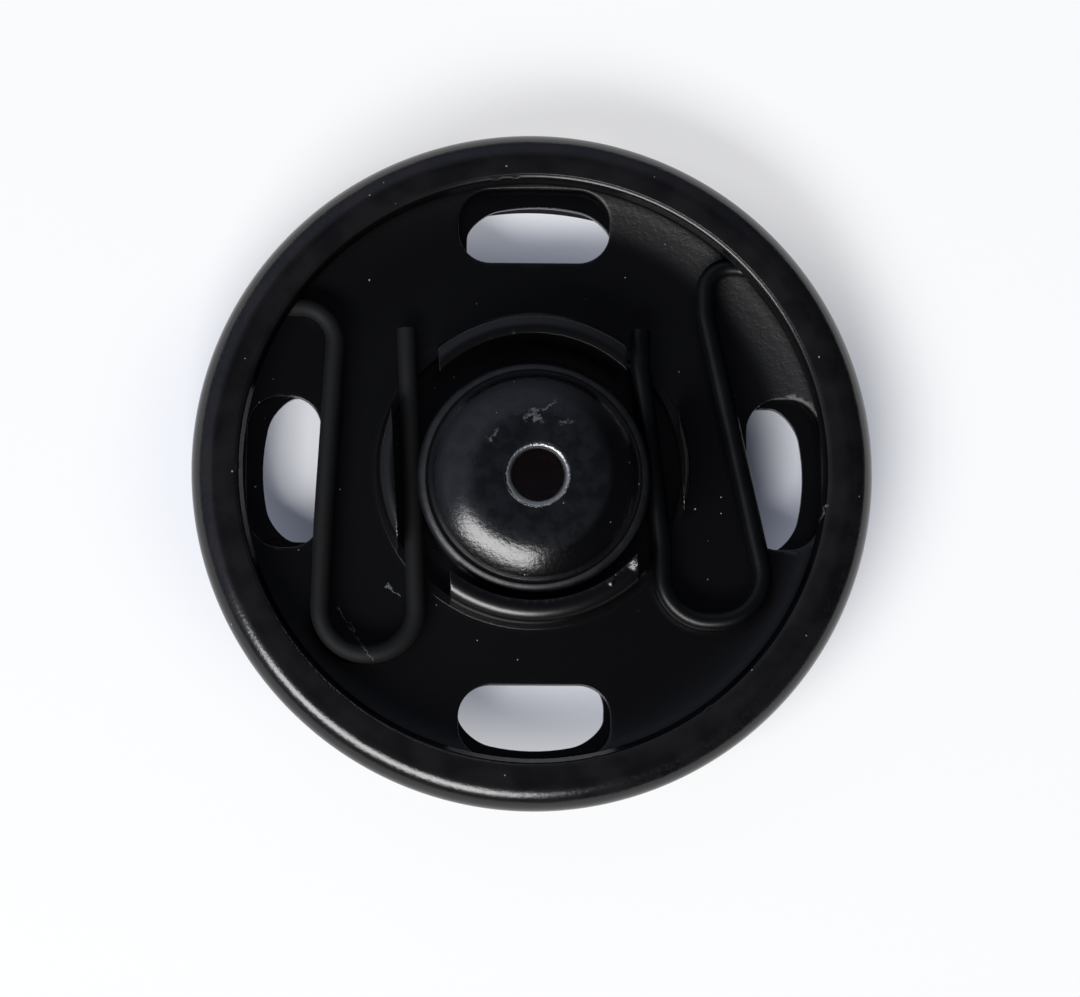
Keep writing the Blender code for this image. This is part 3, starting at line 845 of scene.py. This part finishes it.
def cardFinish(look):
    # thick white card, matt, which glows white for camera and glossy rays; towards and under the fastener the glow
    # fades to a bluish tint, a painted shade there
    material, tree = newFinish("whiteCard")
    place = inMillimetres(tree)
    # the painted shade under the fastener reaches less far in front and behind than at the sides
    stretched = addNode(tree, "ShaderNodeVectorMath", {0: place, 1: look["glowStretch"]}, operation="MULTIPLY")
    radius = distanceFrom(tree, stretched, 0, look["glowCentreY"])
    outOfPaintedShade = addNode(
        tree, "ShaderNodeMapRange", {0: radius, 1: look["glowStart"], 2: look["glowFull"]},
        interpolation_type="SMOOTHSTEP")
    # colour of the glow: bluish painted shade near the fastener, white away from it
    light = addNode(
        tree, "ShaderNodeMix", {"Factor": outOfPaintedShade, "A": hexColour(look["shade"]), "B": hexColour("#FFFFFF")},
        data_type="RGBA")
    matt = addNode(tree, "ShaderNodeBsdfDiffuse", {"Color": hexColour(look["colour"]), "Roughness": 0.6})
    white = addNode(tree, "ShaderNodeEmission", {"Color": light, "Strength": 1.0})
    rays = addNode(tree, "ShaderNodeLightPath").outputs
    seen = rays["Is Camera Ray"]
    for name in ("Is Glossy Ray", "Is Transmission Ray"):
        seen = addNode(tree, "ShaderNodeMath", {0: seen, 1: rays[name]}, operation="MAXIMUM")
    share = addNode(tree, "ShaderNodeMath", {0: outOfPaintedShade, 1: look["glow"]}, operation="MULTIPLY")
    share = addNode(tree, "ShaderNodeMath", {0: share, 1: seen}, operation="MULTIPLY")
    mixed = addNode(tree, "ShaderNodeMixShader", {"Fac": share, 1: matt, 2: white})
    addNode(tree, "ShaderNodeOutputMaterial", {"Surface": mixed})
    return material


def buildStage():
    t = table
    mesh = bpy.data.meshes.new("tableTop")
    h = t["size"] / 2
    z = -t["drop"] * mm
    mesh.from_pydata([(-h, -h, z), (h, -h, z), (h, h, z), (-h, h, z)], [], [(0, 1, 2, 3)])
    card = linkPiece("tableTop", mesh)
    card.data.materials.append(cardFinish(t))
    lamp = bpy.data.lights.new("softBox", "AREA")
    lamp.shape = "RECTANGLE"
    lamp.size = softBox["width"]
    lamp.size_y = softBox["height"]
    lamp.energy = softBox["power"]
    lampObject = bpy.data.objects.new("softBox", lamp)
    a, e = radians(softBox["azimuth"]), radians(softBox["elevation"])
    way = Vector((cos(a) * cos(e), sin(a) * cos(e), sin(e)))
    lampObject.location = way * softBox["distance"]
    lampObject.rotation_euler = way.to_track_quat("Z", "Y").to_euler()
    bpy.context.scene.collection.objects.link(lampObject)


def buildSurround():
    # a dim room: dark overhead, where the camera stands, and lighter walls on the far left
    world = bpy.data.worlds.new("surround")
    bpy.context.scene.world = world
    world.use_nodes = True
    tree = world.node_tree
    way = addNode(tree, "ShaderNodeTexCoord").outputs["Generated"]
    a = radians(surround["litAzimuth"])
    towards = addNode(tree, "ShaderNodeVectorMath", {0: way, 1: (cos(a), sin(a), 0)}, operation="DOT_PRODUCT")
    height = addNode(tree, "ShaderNodeSeparateXYZ", {"Vector": way}).outputs["Z"]
    side, belowTop, fade = [
        addNode(
            tree, "ShaderNodeMapRange", {0: value, 1: reach[0], 2: reach[1], 3: low},
            interpolation_type="SMOOTHSTEP")
        for value, reach, low in (
            (towards, surround["litSide"], 0.0), (height, surround["darkTop"], 0.0),
            (height, surround["horizon"], surround["horizonShare"]))]
    share = addNode(tree, "ShaderNodeMath", {0: side, 1: belowTop}, operation="MULTIPLY")
    share = addNode(tree, "ShaderNodeMath", {0: share, 1: fade}, operation="MULTIPLY")
    strength = addNode(tree, "ShaderNodeMix", {"Factor": share, "A": surround["dim"], "B": surround["lit"]})
    back = tree.nodes["Background"]
    back.inputs["Color"].default_value = hexColour(surround["colour"])
    tree.links.new(strength.outputs[0], back.inputs["Strength"])


def buildCamera():
    v = view
    back = Vector((v["leanX"], v["leanY"], 1)).normalized()
    right = Vector((0, 1, 0)).cross(back).normalized()
    up = back.cross(right)
    aim = Vector(v["aim"]) * mm
    lens = bpy.data.cameras.new("camera")
    lens.sensor_width = v["sensorWidth"]
    lens.lens = v["sensorWidth"] * v["distance"] / v["frameWidth"]
    lens.clip_start = v["clipStart"] * mm
    camera = bpy.data.objects.new("camera", lens)
    spot = aim + back * v["distance"] * mm
    turn = Matrix((right, up, back)).transposed().to_4x4()
    camera.matrix_world = Matrix.Translation(spot) @ turn
    bpy.context.scene.collection.objects.link(camera)
    bpy.context.scene.camera = camera


def main():
    scene = bpy.context.scene
    scene.view_settings.view_transform = "Standard"
    buildStage()
    buildSurround()
    buildCamera()
    print("stage and camera")
    socketSheet = buildSocketHalf()
    socketSheet.data.materials.append(socketLacquer(socketLook))
    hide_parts("socket_half")
    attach(socketSheet, "socket_body")
    print("socket half", len(socketSheet.data.polygons))
    ballSheet = buildBallHalf()
    ballSheet.data.materials.append(ballLacquer(ballLook))
    ballSheet.data.materials.append(hollowSteel(hollowLook))
    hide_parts("ball_half")
    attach(ballSheet, "ball_body")
    print("ball half", len(ballSheet.data.polygons))
    coat = wireLacquer(wireLook)
    tree = wireTree()
    for name, route, node in (
            ("leftWire", leftRoute, "spring_left"), ("rightWire", rightRoute, "spring_right")):
        piece = buildSpring(name, route, tree, coat)
        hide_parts(node)
        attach(piece, "socket_body")
        print(name, len(piece.data.polygons))


main()
